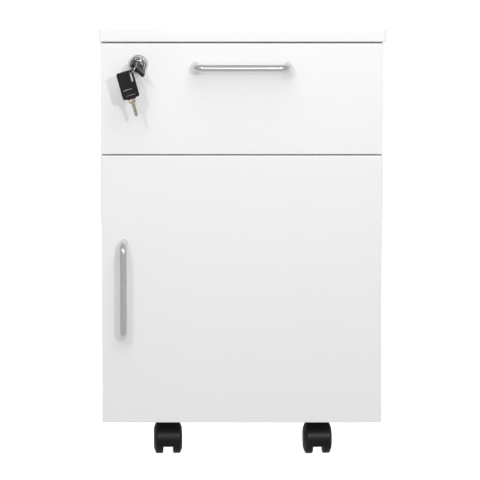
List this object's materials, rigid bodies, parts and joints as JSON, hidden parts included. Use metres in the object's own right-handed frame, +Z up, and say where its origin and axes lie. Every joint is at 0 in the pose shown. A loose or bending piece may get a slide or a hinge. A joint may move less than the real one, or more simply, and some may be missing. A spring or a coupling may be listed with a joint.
{
  "type": "rolling pedestal cabinet",
  "caption": "White board pedestal cabinet on twin-wheel casters: a lockable drawer above a hinged door, bow handles, a key in the lock.",
  "frame": {"origin": "on the floor under the middle of the object's box", "axes": "+Z up, the drawer and door face -Y, +X to the right seen from the front"},
  "size_m": [0.398, 0.4531, 0.618],
  "materials": {
    "white_board": "melamine-faced board, fine orange peel",
    "drawer_board": "foil-wrapped drawer board",
    "satin_handle": "satin nickel",
    "zinc_steel": "bright zinc plate",
    "slide_steel": "rolled galvanised sheet",
    "hinge_nickel": "pressed nickel-plated steel",
    "lock_chrome": "chromed zinc casting",
    "key_nickel": "nickel-plated brass",
    "key_plastic": "moulded black plastic",
    "caster_plastic": "moulded black nylon",
    "wheel_plastic": "moulded black nylon, worn tread"
  },
  "bodies": {
    "case": {"top_panel": "white_board", "left_side_panel": "white_board", "right_side_panel": "white_board", "bottom_panel": "white_board", "divider_panel": "white_board", "back_panel": "white_board", "shelf": "white_board", "shelf_pins": "zinc_steel", "cam_fittings": "zinc_steel", "euro_screws": "zinc_steel", "left_cabinet_rail": "slide_steel", "right_cabinet_rail": "slide_steel", "lock_strike": "zinc_steel", "hinge_arms": "hinge_nickel", "hinge_plates": "hinge_nickel", "caster_plates": "zinc_steel", "caster_stems": "zinc_steel", "caster_screws": "zinc_steel"},
    "drawer": {"drawer_front": "white_board", "drawer_left_side": "drawer_board", "drawer_right_side": "drawer_board", "drawer_back": "drawer_board", "drawer_bottom": "drawer_board", "left_drawer_rail": "slide_steel", "right_drawer_rail": "slide_steel", "drawer_screws": "zinc_steel", "drawer_handle": "satin_handle", "drawer_handle_screws": "zinc_steel", "lock_housing": "lock_chrome", "lock_rosette": "lock_chrome", "lock_nut": "zinc_steel"},
    "slide_middles": {"left_middle_rail": "slide_steel", "right_middle_rail": "slide_steel"},
    "lock_core": {"lock_plug": "lock_chrome", "lock_cam": "zinc_steel", "lock_cam_screw": "zinc_steel"},
    "key": {"key_blade": "key_nickel", "key_hub": "key_plastic"},
    "key_grip": {"key_head": "key_plastic"},
    "ring": {"key_ring": "key_nickel"},
    "spare_key": {"spare_key_head": "key_plastic"},
    "spare_blade": {"spare_key_blade": "key_nickel", "spare_key_hub": "key_plastic"},
    "door": {"door_panel": "white_board", "door_handle": "satin_handle", "door_handle_screws": "zinc_steel", "hinge_cups": "hinge_nickel"},
    "front_left_caster": {"front_left_hood": "caster_plastic", "front_left_axle": "zinc_steel"},
    "front_left_left_roller": {"front_left_left_wheel": "wheel_plastic"},
    "front_left_right_roller": {"front_left_right_wheel": "wheel_plastic"},
    "front_right_caster": {"front_right_hood": "caster_plastic", "front_right_axle": "zinc_steel"},
    "front_right_left_roller": {"front_right_left_wheel": "wheel_plastic"},
    "front_right_right_roller": {"front_right_right_wheel": "wheel_plastic"},
    "rear_left_caster": {"rear_left_hood": "caster_plastic", "rear_left_axle": "zinc_steel"},
    "rear_left_left_roller": {"rear_left_left_wheel": "wheel_plastic"},
    "rear_left_right_roller": {"rear_left_right_wheel": "wheel_plastic"},
    "rear_right_caster": {"rear_right_hood": "caster_plastic", "rear_right_axle": "zinc_steel"},
    "rear_right_left_roller": {"rear_right_left_wheel": "wheel_plastic"},
    "rear_right_right_roller": {"rear_right_right_wheel": "wheel_plastic"}
  },
  "joints": [
    {"name": "drawer_slide", "type": "slide", "parent": "case", "child": "drawer", "axis": [0, -1, 0], "range_m": [0, 0.34]},
    {"name": "slide_middle_travel", "type": "slide", "parent": "case", "child": "slide_middles", "axis": [0, -1, 0], "range_m": [0, 0.17]},
    {"name": "lock_turn", "type": "hinge", "parent": "drawer", "child": "lock_core", "pos_m": [-0.144, -0.175, 0.568], "axis": [0, -1, 0], "range_deg": [-45, 45]},
    {"name": "key_pull", "type": "slide", "parent": "lock_core", "child": "key", "axis": [0, -1, 0], "range_m": [0, 0.016]},
    {"name": "key_fold", "type": "hinge", "parent": "key", "child": "key_grip", "pos_m": [-0.144, -0.1864, 0.568], "axis": [-0.7071, 0, 0.7071], "range_deg": [-30, 30]},
    {"name": "ring_turn", "type": "hinge", "parent": "key_grip", "child": "ring", "pos_m": [-0.1501, -0.22043, 0.57111], "axis": [0.8227, 0.1208, -0.5554], "range_deg": [-12, 12]},
    {"name": "spare_key_swing", "type": "hinge", "parent": "ring", "child": "spare_key", "pos_m": [-0.15447, -0.22107, 0.56449], "axis": [0.1453, -0.9894, 0], "range_deg": [-8, 8]},
    {"name": "spare_key_fold", "type": "hinge", "parent": "spare_key", "child": "spare_blade", "pos_m": [-0.15345, -0.22089, 0.53117], "axis": [0.952, 0.1617, 0.26], "range_deg": [-60, 60]},
    {"name": "door_swing", "type": "hinge", "parent": "case", "child": "door", "pos_m": [0.1895, -0.167, 0.2475], "axis": [0, 0, 1], "range_deg": [0, 105]},
    {"name": "front_left_swivel", "type": "hinge", "parent": "case", "child": "front_left_caster", "pos_m": [-0.105, -0.105, 0.045], "axis": [0, 0, 1], "continuous": true},
    {"name": "front_left_left_roll", "type": "hinge", "parent": "front_left_caster", "child": "front_left_left_roller", "pos_m": [-0.10422, -0.11998, 0.022], "axis": [0.9986, 0.0523, 0], "continuous": true},
    {"name": "front_left_right_roll", "type": "hinge", "parent": "front_left_caster", "child": "front_left_right_roller", "pos_m": [-0.10422, -0.11998, 0.022], "axis": [0.9986, 0.0523, 0], "continuous": true},
    {"name": "front_right_swivel", "type": "hinge", "parent": "case", "child": "front_right_caster", "pos_m": [0.105, -0.105, 0.045], "axis": [0, 0, 1], "continuous": true},
    {"name": "front_right_left_roll", "type": "hinge", "parent": "front_right_caster", "child": "front_right_left_roller", "pos_m": [0.10631, -0.11994, 0.022], "axis": [0.9962, 0.0872, 0], "continuous": true},
    {"name": "front_right_right_roll", "type": "hinge", "parent": "front_right_caster", "child": "front_right_right_roller", "pos_m": [0.10631, -0.11994, 0.022], "axis": [0.9962, 0.0872, 0], "continuous": true},
    {"name": "rear_left_swivel", "type": "hinge", "parent": "case", "child": "rear_left_caster", "pos_m": [-0.105, 0.178, 0.045], "axis": [0, 0, 1], "continuous": true},
    {"name": "rear_left_left_roll", "type": "hinge", "parent": "rear_left_caster", "child": "rear_left_left_roller", "pos_m": [-0.0989, 0.1643, 0.022], "axis": [0.9135, 0.4067, 0], "continuous": true},
    {"name": "rear_left_right_roll", "type": "hinge", "parent": "rear_left_caster", "child": "rear_left_right_roller", "pos_m": [-0.0989, 0.1643, 0.022], "axis": [0.9135, 0.4067, 0], "continuous": true},
    {"name": "rear_right_swivel", "type": "hinge", "parent": "case", "child": "rear_right_caster", "pos_m": [0.105, 0.178, 0.045], "axis": [0, 0, 1], "continuous": true},
    {"name": "rear_right_left_roll", "type": "hinge", "parent": "rear_right_caster", "child": "rear_right_left_roller", "pos_m": [0.10086, 0.16358, 0.022], "axis": [0.9613, -0.2756, 0], "continuous": true},
    {"name": "rear_right_right_roll", "type": "hinge", "parent": "rear_right_caster", "child": "rear_right_right_roller", "pos_m": [0.10086, 0.16358, 0.022], "axis": [0.9613, -0.2756, 0], "continuous": true}
  ],
  "couplings": [
    {"joint": "slide_middle_travel", "follows": "drawer_slide", "ratio": 0.5}
  ]
}
